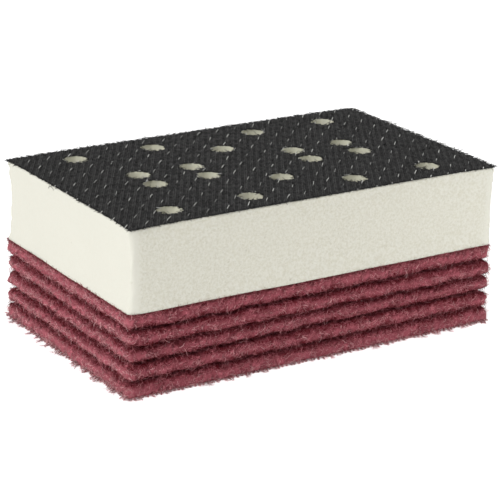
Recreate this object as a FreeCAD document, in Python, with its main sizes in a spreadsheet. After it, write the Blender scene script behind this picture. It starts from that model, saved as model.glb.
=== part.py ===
import FreeCAD, Part
import math
import os

import Sketcher

# A soft hand sanding block standing on its stack of five loose abrasive fleece pads.
#
# The block is a slab of soft foam with a thin facing bonded on top: a layer of
# adhesive, and a knitted cloth whose low hooks grip a sanding sheet. Short pale tie
# stitches lie aslant in the cloth in a square lattice. Eighteen extraction holes
# run through the facing and the foam. The pads under the block
# lie loose on one another, each a separate slab of open fleece.
#
# Millimetres. +Z is up, +X runs along the long side, and the origin is on the
# supporting surface under the centre of the stack.

# Driving dimensions: the sheet's alias, its value, and what it means.
DIMENSIONS = [
    ("block_length", 133.0, "length of the block and of each pad"),
    ("block_width", 80.0, "width of the block and of each pad"),
    ("pad_thickness", 5.3, "thickness of one fleece pad"),
    ("pad_corner", 2.4, "radius of a pad's upright corners"),
    ("pad_edge", 1.7, "rounding of a pad's upper and lower edges"),
    ("foam_height", 26.3, "height of the foam core"),
    ("foam_corner", 2.0, "radius of the foam's upright corners"),
    ("foam_waist", 0.8, "how far the foam's sides bow inwards at mid-height"),
    ("adhesive_thickness", 0.1, "layer that bonds the facing to the foam"),
    ("adhesive_setback", 0.3, "how far the adhesive stays back from the cloth's edges"),
    ("cloth_thickness", 0.45, "knitted cloth with its low hooks"),
    ("facing_inset", 0.1, "how far the cloth is trimmed inside the foam's edge"),
    ("hole_radius", 4.0, "radius of an extraction hole"),
    ("column_inner", 19.2, "inner column of holes, from the centre"),
    ("column_middle", 38.3, "middle column of holes, from the centre"),
    ("column_outer", 47.4, "outer column of holes, from the centre"),
    ("row_near", 5.3, "row of holes next to the long centre line"),
    ("row_middle", 17.5, "row of the two holes on the short centre line"),
    ("row_far", 29.6, "row of holes nearest the long sides"),
    ("stitch_pitch", 7.08, "spacing of the tie stitches, both ways"),
    ("stitch_turn", 1.8, "turn of their lattice against the long side, degrees"),
    ("stitch_first_x", -59.3, "a stitch near the front left corner, X"),
    ("stitch_first_y", -37.0, "the same stitch, Y"),
    ("stitch_length", 3.6, "length of a tie stitch"),
    ("stitch_radius", 0.16, "radius of a tie stitch's thread"),
    ("stitch_slant", 48.0, "slant of each stitch against the long side, degrees"),
    ("stitch_sunk", 0.03, "depth of a stitch's upper side below the cloth's top"),
]

# How each pad lies in the stack, from the lowest up: shift along X, shift along Y,
# what is trimmed from its length, and what is trimmed from its width.
PAD_LIES = [
    (-0.1, 0.1, 0.0, 0.0),
    (-0.3, -0.2, 0.3, 0.2),
    (0.2, 0.2, 0.2, 0.4),
    (0.1, -0.3, 0.4, 0.2),
    (-0.2, 0.1, 0.2, 0.3),
]

# How a sketch's constraints name its origin, its upright axis, and a curve's points.
ORIGIN = (-1, 1)
UPRIGHT_AXIS = -2
START, END, CENTRE = 1, 2, 3

# Where a rounded rectangle starts before its constraints pull it to size.
ROUGH_HALF_LENGTH = 60.0
ROUGH_HALF_WIDTH = 35.0
ROUGH_RADIUS = 2.0

FLAT = 1e-6  # an edge that rises less than this lies level
VOLUME_SLACK = 1.0  # cubic mm by which the bores may miss their expected volume
SPARE_STEPS = 2  # lattice steps tried beyond each edge, because the lattice is turned
LEAST_STUB = 0.2  # share of a whole stitch below which a cut end isn't kept


def fill_sheet(doc):
    """Write the driving dimensions, and how each pad lies, into the sheet."""
    sheet = doc.addObject("Spreadsheet::Sheet", "Dimensions")
    rows = list(DIMENSIONS)
    for number, lie in enumerate(PAD_LIES, start=1):
        for name, value in zip(("shift_x", "shift_y", "trim_length", "trim_width"), lie):
            rows.append((f"pad_{number}_{name}", value, f"pad {number}: {name}"))
    for row, (alias, value, meaning) in enumerate(rows, start=1):
        sheet.set(f"A{row}", meaning)
        sheet.set(f"B{row}", str(value))
        sheet.setAlias(f"B{row}", alias)
    doc.recompute()
    return sheet


def add_body(doc, label, expressions):
    """Add an empty body whose placement follows the given expressions."""
    body = doc.addObject("PartDesign::Body", label)
    body.Label = label
    for axis, expression in expressions.items():
        body.setExpression(f"Placement.Base.{axis}", expression)
    return body


def add_sketch(body, name, lift="0"):
    """Add a sketch on the body's own XY plane, raised by an expression."""
    sketch = body.newObject("Sketcher::SketchObject", name)
    plane = next(item for item in body.Origin.OriginFeatures if item.Role == "XY_Plane")
    sketch.AttachmentSupport = [(plane, "")]
    sketch.MapMode = "FlatFace"
    sketch.setExpression("AttachmentOffset.Base.z", lift)
    return sketch


def constrain(sketch, name, kind, *arguments, follows=None):
    """Add a named constraint, and bind it to an expression if one is given."""
    index = sketch.addConstraint(Sketcher.Constraint(kind, *arguments))
    sketch.renameConstraint(index, name)
    if follows:
        sketch.setExpression(f"Constraints.{name}", follows)


def draw_rounded_rectangle(sketch, length, width, radius):
    """Draw a rounded rectangle about the origin; the sizes are expressions."""
    half_x, half_y, round_off = ROUGH_HALF_LENGTH, ROUGH_HALF_WIDTH, ROUGH_RADIUS
    corners = []
    sides = []
    for quarter in range(4):
        way = quarter * math.pi / 2
        sign_x = 1 if quarter in (0, 3) else -1
        sign_y = 1 if quarter in (0, 1) else -1
        centre = FreeCAD.Vector(sign_x * (half_x - round_off), sign_y * (half_y - round_off))
        circle = Part.Circle(centre, FreeCAD.Vector(0, 0, 1), round_off)
        arc = Part.ArcOfCircle(circle, way, way + math.pi / 2)
        corners.append(sketch.addGeometry(arc))
    for quarter, corner in enumerate(corners):
        following = corners[(quarter + 1) % 4]
        start = sketch.getPoint(corner, END)
        end = sketch.getPoint(following, START)
        side = sketch.addGeometry(Part.LineSegment(start, end))
        sides.append(side)
        constrain(sketch, f"leave_{quarter}", "Tangent", corner, END, side, START)
        constrain(sketch, f"join_{quarter}", "Tangent", side, END, following, START)
        level = "Horizontal" if quarter % 2 == 0 else "Vertical"
        constrain(sketch, f"level_{quarter}", level, side)
        if quarter:
            constrain(sketch, f"same_{quarter}", "Equal", corners[0], corner)
    top, left, bottom, right = sides
    constrain(sketch, "radius", "Radius", corners[0], round_off, follows=radius)
    constrain(sketch, "to_right", "DistanceX", *ORIGIN, right, START, half_x,
              follows=f"({length}) / 2")
    constrain(sketch, "to_left", "DistanceX", left, START, *ORIGIN, half_x,
              follows=f"({length}) / 2")
    constrain(sketch, "to_top", "DistanceY", *ORIGIN, top, START, half_y,
              follows=f"({width}) / 2")
    constrain(sketch, "to_bottom", "DistanceY", bottom, START, *ORIGIN, half_y,
              follows=f"({width}) / 2")


def add_prism(body, name, thickness, length, width, radius):
    """Pad a rounded rectangle upwards from the body's XY plane."""
    outline = add_sketch(body, f"{name}_outline")
    draw_rounded_rectangle(outline, length, width, radius)
    prism = body.newObject("PartDesign::Pad", name)
    prism.Profile = outline
    prism.setExpression("Length", thickness)
    outline.Visibility = False
    return prism


def hole_places():
    """List the sheet aliases and signs of the eighteen hole centres."""
    corners = [
        ("column_inner", "row_near"),
        ("column_middle", "row_near"),
        ("column_inner", "row_far"),
        ("column_outer", "row_far"),
    ]
    places = []
    for sign_y in (-1, 1):
        places.append((None, 0, "row_middle", sign_y))
        for column, row in corners:
            places += [(column, sign_x, row, sign_y) for sign_x in (-1, 1)]
    return places


def draw_hole(sketch, sheet, number, place, radius):
    """Draw one hole whose centre follows the sheet; its radius is an expression."""
    column, sign_x, row, sign_y = place
    across = sign_x * getattr(sheet, column) if column else 0
    centre = FreeCAD.Vector(across, sign_y * getattr(sheet, row))
    circle = Part.Circle(centre, FreeCAD.Vector(0, 0, 1), sheet.hole_radius)
    hole = sketch.addGeometry(circle)
    constrain(sketch, f"radius_{number}", "Radius", hole, sheet.hole_radius, follows=radius)
    along_y = (*ORIGIN, hole, CENTRE) if sign_y > 0 else (hole, CENTRE, *ORIGIN)
    constrain(sketch, f"row_{number}", "DistanceY", *along_y, getattr(sheet, row),
              follows=f"Dimensions.{row}")
    if column is None:
        constrain(sketch, f"column_{number}", "PointOnObject", hole, CENTRE, UPRIGHT_AXIS)
        return
    along_x = (*ORIGIN, hole, CENTRE) if sign_x > 0 else (hole, CENTRE, *ORIGIN)
    constrain(sketch, f"column_{number}", "DistanceX", *along_x, getattr(sheet, column),
              follows=f"Dimensions.{column}")


def cut_holes(doc, body, sheet, blank, depth, radius="Dimensions.hole_radius"):
    """Pocket the extraction holes through a body, and check that they cut it."""
    doc.recompute()
    volume_before = blank.Shape.Volume
    pattern = add_sketch(body, f"{body.Label}_holes")
    for number, place in enumerate(hole_places(), start=1):
        draw_hole(pattern, sheet, number, place, radius)
    pocket = body.newObject("PartDesign::Pocket", f"{body.Label}_bores")
    pocket.Profile = pattern
    pocket.Type = "Length"
    pocket.Reversed = True
    pocket.setExpression("Length", depth)
    pattern.Visibility = False
    doc.recompute()
    removed = volume_before - pocket.Shape.Volume
    hole_area = sum(math.pi * circle.Radius**2 for circle in pattern.Geometry)
    if abs(removed - hole_area * pocket.Length.Value) > VOLUME_SLACK:
        raise RuntimeError(f"the holes in {body.Label} removed {removed:.1f} cubic mm")


def make_fleece_pad(doc, number):
    """One loose fleece pad: a slab with rounded corners and edges."""
    lie = f"Dimensions.pad_{number}_"
    body = add_body(doc, f"fleece_pad_{number}", {
        "x": f"{lie}shift_x",
        "y": f"{lie}shift_y",
        "z": f"Dimensions.pad_thickness * {number - 1}",
    })
    slab = add_prism(body, f"pad_{number}_slab", "Dimensions.pad_thickness",
                     f"Dimensions.block_length - {lie}trim_length",
                     f"Dimensions.block_width - {lie}trim_width",
                     "Dimensions.pad_corner")
    doc.recompute()
    rims = [
        f"Edge{index}"
        for index, edge in enumerate(slab.Shape.Edges, start=1)
        if edge.BoundBox.ZLength < FLAT
    ]
    rounding = body.newObject("PartDesign::Fillet", f"pad_{number}_rounding")
    rounding.Base = (slab, rims)
    rounding.setExpression("Radius", "Dimensions.pad_edge")
    return body


def make_foam_core(doc, sheet, level):
    """The foam: lofted through its top, waist and bottom outlines, then bored."""
    body = add_body(doc, "foam_core", {"z": level})
    outlines = []
    for name, share, waist in (("bottom", 0, 0), ("waist", 0.5, 1), ("top", 1, 0)):
        outline = add_sketch(body, f"foam_{name}", f"Dimensions.foam_height * {share}")
        draw_rounded_rectangle(
            outline,
            f"Dimensions.block_length - 2 * {waist} * Dimensions.foam_waist",
            f"Dimensions.block_width - 2 * {waist} * Dimensions.foam_waist",
            "Dimensions.foam_corner")
        outline.Visibility = False
        outlines.append(outline)
    loft = body.newObject("PartDesign::AdditiveLoft", "foam_loft")
    loft.Profile = outlines[0]
    loft.Sections = outlines[1:]
    cut_holes(doc, body, sheet, loft, "Dimensions.foam_height")
    return body


def make_facing_layer(doc, sheet, label, level, thickness, setback="0"):
    """A layer of the facing: a thin sheet with the extraction holes punched out."""
    body = add_body(doc, label, {"z": level})
    trim = f"2 * (Dimensions.facing_inset + {setback})"
    layer = add_prism(body, f"{label}_sheet", thickness,
                      f"Dimensions.block_length - {trim}",
                      f"Dimensions.block_width - {trim}",
                      "Dimensions.foam_corner")
    cut_holes(doc, body, sheet, layer, thickness, f"Dimensions.hole_radius + {setback}")
    return body


def stitch_places(sheet):
    """Work out where the tie stitches lie: a square lattice, slightly turned."""
    first = FreeCAD.Vector(sheet.stitch_first_x, sheet.stitch_first_y)
    turn = FreeCAD.Rotation(FreeCAD.Vector(0, 0, 1), sheet.stitch_turn)
    columns = math.ceil(sheet.block_length / sheet.stitch_pitch)
    rows = math.ceil(sheet.block_width / sheet.stitch_pitch)
    places = []
    for row in range(-SPARE_STEPS, rows + SPARE_STEPS):
        for column in range(-SPARE_STEPS, columns + SPARE_STEPS):
            step = FreeCAD.Vector(column, row) * sheet.stitch_pitch
            places.append(first + turn.multVec(step))
    return places


def make_tie_stitches(doc, sheet, cloth):
    """The pale tie stitches: short threads aslant in the cloth, cut off where it ends."""
    slant = math.radians(sheet.stitch_slant)
    along = FreeCAD.Vector(math.cos(slant), math.sin(slant))
    depth = sheet.stitch_sunk + sheet.stitch_radius
    level = cloth.Placement.Base.z + sheet.cloth_thickness - depth
    whole = []
    for place in stitch_places(sheet):
        start = place - along * (sheet.stitch_length / 2) + FreeCAD.Vector(0, 0, level)
        whole.append(Part.makeCylinder(sheet.stitch_radius, sheet.stitch_length, start, along))
    least_volume = LEAST_STUB * whole[0].Volume
    trimmed = Part.makeCompound(whole).common(cloth.Shape)
    stitches = doc.addObject("Part::Feature", "tie_stitches")
    stitches.Label = "tie_stitches"
    kept = [solid for solid in trimmed.Solids if solid.Volume > least_volume]
    stitches.Shape = Part.makeCompound(kept)
    return stitches


def check_document(doc, parts):
    """Stop if any object failed to compute or any part has no sound shape."""
    for item in doc.Objects:
        if "Invalid" in item.State or "Error" in item.State:
            raise RuntimeError(f"{item.Label} is in the state {item.State}")
    for part in parts:
        if part.Shape.isNull() or not part.Shape.isValid():
            raise RuntimeError(f"{part.Label} has no sound shape")


def build():
    """Make the document, build every piece in it, and write their files."""
    os.makedirs("parts", exist_ok=True)
    doc = FreeCAD.newDocument("sanding_block")
    sheet = fill_sheet(doc)

    foam_level = f"Dimensions.pad_thickness * {len(PAD_LIES)}"
    adhesive_level = f"{foam_level} + Dimensions.foam_height"
    cloth_level = f"{adhesive_level} + Dimensions.adhesive_thickness"

    parts = [make_fleece_pad(doc, number) for number in range(1, len(PAD_LIES) + 1)]
    parts.append(make_foam_core(doc, sheet, foam_level))
    parts.append(make_facing_layer(doc, sheet, "facing_adhesive", adhesive_level,
                                   "Dimensions.adhesive_thickness",
                                   "Dimensions.adhesive_setback"))
    cloth = make_facing_layer(doc, sheet, "facing_cloth", cloth_level,
                              "Dimensions.cloth_thickness")
    doc.recompute()
    parts += [cloth, make_tie_stitches(doc, sheet, cloth)]
    doc.recompute()

    check_document(doc, parts)
    for part in parts:
        part.Shape.exportStep(f"parts/{part.Label}.step")
        box = part.Shape.BoundBox
        size = f"{len(part.Shape.Solids)} solids, {part.Shape.Volume:.1f} cubic mm"
        print(f"{part.Label}: {size}, Z {box.ZMin:.2f} to {box.ZMax:.2f}")


build()
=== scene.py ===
"""The looks of a soft hand sanding block that stands on its five loose fleece pads.

The block is a slab of cream foam with eighteen extraction holes. A black knitted cloth
with low hooks is glued on top of it, and short pale tie stitches lie aslant in the
cloth in a square lattice. Under the block lie five loose pads of maroon abrasive
fleece. Each is a lumpy web with a fringe of crimped fibres round it.

Everything is in metres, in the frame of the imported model.
"""

import logging
import math
from dataclasses import dataclass, field
from enum import Enum
from typing import Any

import bpy
import numpy as np
from mathutils import Matrix, Vector


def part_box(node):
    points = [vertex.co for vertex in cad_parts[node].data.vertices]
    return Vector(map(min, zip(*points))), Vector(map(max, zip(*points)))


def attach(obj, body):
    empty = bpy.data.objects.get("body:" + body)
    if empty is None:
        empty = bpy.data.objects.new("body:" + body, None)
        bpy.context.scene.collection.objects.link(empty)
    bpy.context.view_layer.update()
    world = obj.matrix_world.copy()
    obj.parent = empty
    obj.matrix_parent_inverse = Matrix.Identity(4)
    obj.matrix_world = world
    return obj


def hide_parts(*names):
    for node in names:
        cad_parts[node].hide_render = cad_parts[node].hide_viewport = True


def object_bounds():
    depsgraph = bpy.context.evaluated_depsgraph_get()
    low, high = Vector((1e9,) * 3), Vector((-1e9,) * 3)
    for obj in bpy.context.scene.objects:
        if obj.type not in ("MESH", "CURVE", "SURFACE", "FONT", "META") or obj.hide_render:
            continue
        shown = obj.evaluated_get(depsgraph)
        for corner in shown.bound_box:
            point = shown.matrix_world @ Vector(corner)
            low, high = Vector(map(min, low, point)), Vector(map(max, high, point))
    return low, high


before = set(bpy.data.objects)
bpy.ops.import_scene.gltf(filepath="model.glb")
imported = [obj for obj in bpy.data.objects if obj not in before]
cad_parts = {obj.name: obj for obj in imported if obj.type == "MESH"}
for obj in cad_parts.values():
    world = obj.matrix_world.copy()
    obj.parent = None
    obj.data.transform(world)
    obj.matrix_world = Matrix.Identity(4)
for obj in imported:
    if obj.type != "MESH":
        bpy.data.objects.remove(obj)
CAD_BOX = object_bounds()

LOG = logging.getLogger("sanding_block")

MM = 0.001
TAU = 2.0 * math.pi
TINT = "tint"  # the attribute that tells a finish how light a strand is

Colour = tuple[float, float, float]


class Slot(Enum):
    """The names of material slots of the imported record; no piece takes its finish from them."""

    FLEECE = "fleece"
    FOAM = "foam"
    CLOTH = "facing_cloth"
    STITCH = "stitch"
    ADHESIVE = "adhesive"


# ---------------------------------------------------------------------------
# Shapes as arrays
# ---------------------------------------------------------------------------


@dataclass
class Shape:
    """Points and faces on their way into a mesh.

    Attributes:
        points: one row of x, y, z for each vertex.
        faces: arrays of vertex numbers, each of faces with the same number of corners.
        tint: one number for each vertex, from 0 dark to 1 light.
    """

    points: np.ndarray
    faces: list[np.ndarray]
    tint: np.ndarray

    def make_piece(self, name: str, finish: "Finish") -> bpy.types.Object:
        """Make a smooth-shaded object of this shape, with its place in its mesh.

        Args:
            name: the new piece's name.
            finish: the finish that it wears.

        Returns:
            The new object, linked to the scene.
        """
        mesh = bpy.data.meshes.new(name)
        corners = np.concatenate([block.ravel() for block in self.faces])
        counts = np.concatenate([np.full(len(b), b.shape[1]) for b in self.faces])
        starts = np.concatenate([[0], np.cumsum(counts)[:-1]])
        mesh.vertices.add(len(self.points))
        mesh.vertices.foreach_set("co", self.points.astype(np.float32).ravel())
        mesh.loops.add(len(corners))
        mesh.loops.foreach_set("vertex_index", corners.astype(np.int32))
        mesh.polygons.add(len(counts))
        mesh.polygons.foreach_set("loop_start", starts.astype(np.int32))
        mesh.polygons.foreach_set("use_smooth", np.ones(len(counts), bool))
        mesh.update(calc_edges=True)
        tint = mesh.attributes.new(TINT, "FLOAT", "POINT")
        tint.data.foreach_set("value", self.tint.astype(np.float32))
        mesh.materials.append(finish.material())
        piece = bpy.data.objects.new(name, mesh)
        bpy.context.scene.collection.objects.link(piece)
        return piece


def unit(vectors: np.ndarray) -> np.ndarray:
    """Scale each vector of an array to length one."""
    lengths = np.linalg.norm(vectors, axis=-1, keepdims=True)
    return vectors / np.maximum(lengths, 1e-12)


def smooth_noise(points: np.ndarray, wavelength: float, seed: int) -> np.ndarray:
    """Smooth noise of about unit height, anywhere in space.

    It is a sum of plane cosine waves. Each has a random direction and phase, and a
    length within a third or so of the wavelength.

    Args:
        points: where to read the noise, one row a point.
        wavelength: the usual distance from crest to crest.
        seed: which noise it is.

    Returns:
        One number for each point.
    """
    waves = 36
    draw = np.random.default_rng(seed)
    directions = unit(draw.normal(size=(waves, 3)))
    lengths = wavelength * draw.uniform(0.7, 1.35, waves)
    phases = draw.uniform(0.0, TAU, waves)
    angles = points @ (directions * (TAU / lengths)[:, None]).T + phases
    return np.cos(angles).sum(axis=1) * math.sqrt(2.0 / waves)


def strand_tubes(paths: np.ndarray, radii: np.ndarray, tint: np.ndarray, sides: int) -> Shape:
    """Thin closed tubes along many paths at once.

    Around each station lies a regular polygon, at right angles to the path: its
    points are the station plus the radius times (cos a, sin a) on two unit vectors
    across the path. Neighbouring rings are joined by quads and the ends are capped.

    Args:
        paths: stations of each strand, as strands by stations by 3.
        radii: a radius for each station of each strand.
        tint: a tint for each station of each strand.
        sides: corners of the polygon.

    Returns:
        All the tubes as one shape.
    """
    strands, stations = paths.shape[:2]
    ahead = unit(np.gradient(paths, axis=1))
    overall = np.abs(paths[:, -1] - paths[:, 0])
    helper = np.eye(3)[overall.argmin(axis=1)][:, None, :]
    across = unit(np.cross(ahead, helper))
    rise = np.cross(ahead, across)
    angles = TAU * np.arange(sides) / sides
    ring = (across[:, :, None] * np.cos(angles)[:, None]
            + rise[:, :, None] * np.sin(angles)[:, None])
    points = paths[:, :, None] + radii[:, :, None, None] * ring
    number = np.arange(strands * stations * sides).reshape(strands, stations, sides)
    onward = np.roll(number, -1, axis=2)
    sleeve = np.stack([number[:, :-1], onward[:, :-1], onward[:, 1:], number[:, 1:]], axis=-1)
    first_cap = number[:, 0, ::-1]
    last_cap = number[:, -1]
    return Shape(
        points=points.reshape(-1, 3),
        faces=[sleeve.reshape(-1, 4), np.concatenate([first_cap, last_cap])],
        tint=np.repeat(tint.reshape(-1), sides),
    )


def edge_arcs(draw: np.random.Generator, places: np.ndarray, out: np.ndarray, travel: np.ndarray,
              skew: float, curl: float) -> np.ndarray:
    """Level arcs that leave an edge: straight out, plus a parabola to one side.

    Args:
        draw: where the random skew and curl of each arc come from.
        places: where each arc crosses the edge, one row of x, y each.
        out: the direction out of the edge at each place.
        travel: how far out each station of each arc lies.
        skew: spread of the arcs' sideways slopes.
        curl: spread of the arcs' sideways bends, in millimetres for a millimetre of travel.

    Returns:
        The x, y of each station of each arc.
    """
    side = np.stack([-out[:, 1], out[:, 0]], axis=1)
    slope = draw.normal(0.0, skew, len(places))[:, None]
    bend = draw.normal(0.0, curl, len(places))[:, None] / MM
    aside = slope * travel + bend * travel**2
    return places[:, None] + out[:, None] * travel[..., None] + side[:, None] * aside[..., None]


@dataclass(frozen=True)
class Outline:
    """A rounded rectangle about a centre: the plan of a pad or of the block.

    Attributes:
        half_x: half its length.
        half_y: half its width.
        corner: radius of its corners.
        centre: where its middle lies.
    """

    half_x: float
    half_y: float
    corner: float
    centre: tuple[float, float] = (0.0, 0.0)

    def walk(self, count: int) -> tuple[np.ndarray, np.ndarray]:
        """Evenly spaced points round the outline, and the outward normal at each.

        The corners are quarter circles, and the points are spread by arc length.

        Args:
            count: how many points.

        Returns:
            The points and the normals, each one row of x, y a point.
        """
        arc_steps = 24
        turn = np.linspace(0.0, 0.25 * TAU, arc_steps)
        quarter = np.arange(4)[:, None] * 0.25 * TAU + turn
        sign_x = np.array([1, -1, -1, 1])[:, None]
        sign_y = np.array([1, 1, -1, -1])[:, None]
        xs = sign_x * (self.half_x - self.corner) + self.corner * np.cos(quarter)
        ys = sign_y * (self.half_y - self.corner) + self.corner * np.sin(quarter)
        loop = np.stack([xs.ravel(), ys.ravel()], axis=1)
        loop = np.concatenate([loop, loop[:1]])
        steps = np.linalg.norm(np.diff(loop, axis=0), axis=1)
        travelled = np.concatenate([[0.0], np.cumsum(steps)])
        wanted = np.arange(count) / count * travelled[-1]
        points = np.stack([np.interp(wanted, travelled, loop[:, k]) for k in (0, 1)], axis=1)
        along = unit(np.roll(points, -1, axis=0) - np.roll(points, 1, axis=0))
        normals = np.stack([along[:, 1], -along[:, 0]], axis=1)
        return points + np.array(self.centre), normals

    def shrunk(self, inset: float) -> "Outline":
        """The outline moved inwards all round, with its corners tightened as much."""
        tightest = 0.2 * MM
        corner = max(self.corner - inset, tightest)
        return Outline(self.half_x - inset, self.half_y - inset, corner, self.centre)

    def distance_inside(self, points: np.ndarray) -> np.ndarray:
        """How far inside the outline each x, y point lies, negative outside it."""
        from_centre = np.abs(points - np.array(self.centre))
        core = np.array([self.half_x - self.corner, self.half_y - self.corner])
        past = from_centre - core
        outside = np.linalg.norm(np.maximum(past, 0.0), axis=-1)
        within = np.minimum(past.max(axis=-1), 0.0)
        return self.corner - outside - within


@dataclass(frozen=True)
class HolePattern:
    """The extraction holes: alternating columns and rows, mirrored both ways.

    Attributes:
        radius: radius of each hole.
        columns: distances of the columns from the short centre line, innermost first.
        rows: distances of the rows from the long centre line, innermost first.
    """

    radius: float = 4.0 * MM
    columns: tuple[float, float, float] = (19.2 * MM, 38.3 * MM, 47.4 * MM)
    rows: tuple[float, float, float] = (5.3 * MM, 17.5 * MM, 29.6 * MM)

    def centres(self) -> np.ndarray:
        """The centre of each of the eighteen holes, one row of x, y a hole."""
        inner, middle, outer = self.columns
        near, half_way, far = self.rows
        quarter = [(inner, near), (middle, near), (inner, far), (outer, far)]
        mirrored = [(sx * x, sy * y) for x, y in quarter for sx in (1, -1) for sy in (1, -1)]
        return np.array(mirrored + [(0.0, half_way), (0.0, -half_way)])

    def distance_outside(self, points: np.ndarray) -> np.ndarray:
        """How far outside the nearest hole each x, y point lies, negative inside it."""
        apart = points[..., None, :] - self.centres()
        return np.linalg.norm(apart, axis=-1).min(axis=-1) - self.radius


@dataclass
class PunchedPlan:
    """A rounded rectangle with round holes, cut into a fine grid of cells.

    The cells whose middles lie in a hole are left out, and the vertices round the gap
    are moved out to the hole's circle. The square corners are pressed onto the quarter
    circles by scaling each corner point by its larger coordinate over its radius.

    Attributes:
        outline: the rectangle.
        holes: the pattern of holes.
        step: the size of a cell.
        hole_growth: how much wider than the pattern the holes are.
        points: the x, y of each vertex.
        cells: the corners of each kept cell, anticlockwise.
        rim_edges: the two vertices of each edge round the outline and the holes.
        outward: the direction out of the material at each rim vertex.
        on_outline: which vertices lie on the outline.
    """

    outline: Outline
    holes: HolePattern
    step: float
    hole_growth: float = 0.0
    points: np.ndarray = field(init=False)
    cells: np.ndarray = field(init=False)
    rim_edges: np.ndarray = field(init=False)
    outward: np.ndarray = field(init=False)
    on_outline: np.ndarray = field(init=False)

    def __post_init__(self) -> None:
        """Work out the grid, the rim and the direction out of the rim."""
        across = max(2, round(2.0 * self.outline.half_x / self.step))
        deep = max(2, round(2.0 * self.outline.half_y / self.step))
        xs = np.linspace(-self.outline.half_x, self.outline.half_x, across + 1)
        ys = np.linspace(-self.outline.half_y, self.outline.half_y, deep + 1)
        grid = np.stack(np.meshgrid(xs, ys, indexing="ij"), axis=-1)
        four_corners = grid[:-1, :-1] + grid[1:, :-1] + grid[:-1, 1:] + grid[1:, 1:]
        middles = 0.25 * four_corners
        kept = self.holes.distance_outside(middles) > self.hole_growth
        number = np.arange(grid.shape[0] * grid.shape[1]).reshape(grid.shape[:2])
        quads = np.stack([number[:-1, :-1], number[1:, :-1], number[1:, 1:], number[:-1, 1:]], -1)
        used = np.unique(quads[kept])
        fresh = np.full(number.size, -1)
        fresh[used] = np.arange(len(used))
        padded = np.pad(kept, 1)
        neighbours = [padded[1:-1, :-2], padded[2:, 1:-1], padded[1:-1, 2:], padded[:-2, 1:-1]]
        edges = [quads[kept & ~beside][:, [side, (side + 1) % 4]]
                 for side, beside in enumerate(neighbours)]
        self.points = self._press_corners(grid).reshape(-1, 2)[used]
        self.cells = fresh[quads[kept]]
        self.rim_edges = fresh[np.concatenate(edges)]
        self._snap_holes()

    def _press_corners(self, grid: np.ndarray) -> np.ndarray:
        """Move the grid's square corners onto the outline's quarter circles."""
        core = np.array([self.outline.half_x, self.outline.half_y]) - self.outline.corner
        past = np.maximum(np.abs(grid) - core, 0.0)
        reach = np.linalg.norm(past, axis=-1, keepdims=True)
        pressed = past * past.max(axis=-1, keepdims=True) / np.maximum(reach, 1e-12)
        in_corner = (past > 0.0).all(axis=-1, keepdims=True)
        moved = np.sign(grid) * (core + pressed)
        return np.where(in_corner, moved, grid)

    def _snap_holes(self) -> None:
        """Move the rim's vertices onto the circles, and find the way out of the rim."""
        rim = np.unique(self.rim_edges)
        places = self.points[rim]
        centres = self.holes.centres()
        apart = places[:, None] - centres
        nearest = np.linalg.norm(apart, axis=-1).argmin(axis=1)
        from_hole = apart[np.arange(len(rim)), nearest]
        radius = self.holes.radius + self.hole_growth
        near = 2.0 * self.step
        at_hole = np.linalg.norm(from_hole, axis=1) < radius + near
        snapped = centres[nearest] + unit(from_hole) * radius
        self.points[rim] = np.where(at_hole[:, None], snapped, places)
        core = np.array([self.outline.half_x, self.outline.half_y]) - self.outline.corner
        past = np.maximum(np.abs(places) - core, 0.0) * np.sign(places)
        self.outward = np.zeros_like(self.points)
        self.outward[rim] = np.where(at_hole[:, None], -unit(from_hole), unit(past))
        self.on_outline = np.zeros(len(self.points), bool)
        self.on_outline[rim] = ~at_hole

    def raise_slab(self, heights: np.ndarray, outer: np.ndarray, bore: np.ndarray) -> Shape:
        """A closed slab on this plan, with the profile of its walls given level by level.

        The lowest and highest levels are the slab's two faces. At each level the
        rim is moved out of the material by that level's offset.

        Args:
            heights: the height of each level, upwards.
            outer: how far out the outer wall stands at each level.
            bore: how far into the bore each bore's wall stands at each level.

        Returns:
            The slab. Its vertices are the lower face, the upper face, then the levels
            between, each the whole rim.
        """
        count = len(self.points)
        rim = np.unique(self.rim_edges)
        rank = np.full(count, -1)
        rank[rim] = np.arange(len(rim))
        levels = len(heights)
        push = np.where(self.on_outline[None, :], outer[:, None], bore[:, None])
        spread = self.points[None] + push[..., None] * self.outward[None]
        raised = np.broadcast_to(heights[:, None, None], (levels, count, 1))
        layers = np.concatenate([spread, raised], axis=2)
        walls = layers[1:-1, rim]
        points = np.concatenate([layers[0], layers[-1], walls.reshape(-1, 3)])
        between = 2 * count + np.arange((levels - 2) * len(rim)).reshape(levels - 2, len(rim))
        stack = np.concatenate([rim[None], between, rim[None] + count])
        start, stop = rank[self.rim_edges].T
        quads = np.stack([stack[:-1, start], stack[:-1, stop], stack[1:, stop], stack[1:, start]], -1)
        faces = [self.cells[:, ::-1], self.cells + count, quads.reshape(-1, 4)]
        return Shape(points, faces, np.full(len(points), 0.5))


# ---------------------------------------------------------------------------
# Node trees
# ---------------------------------------------------------------------------


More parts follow.
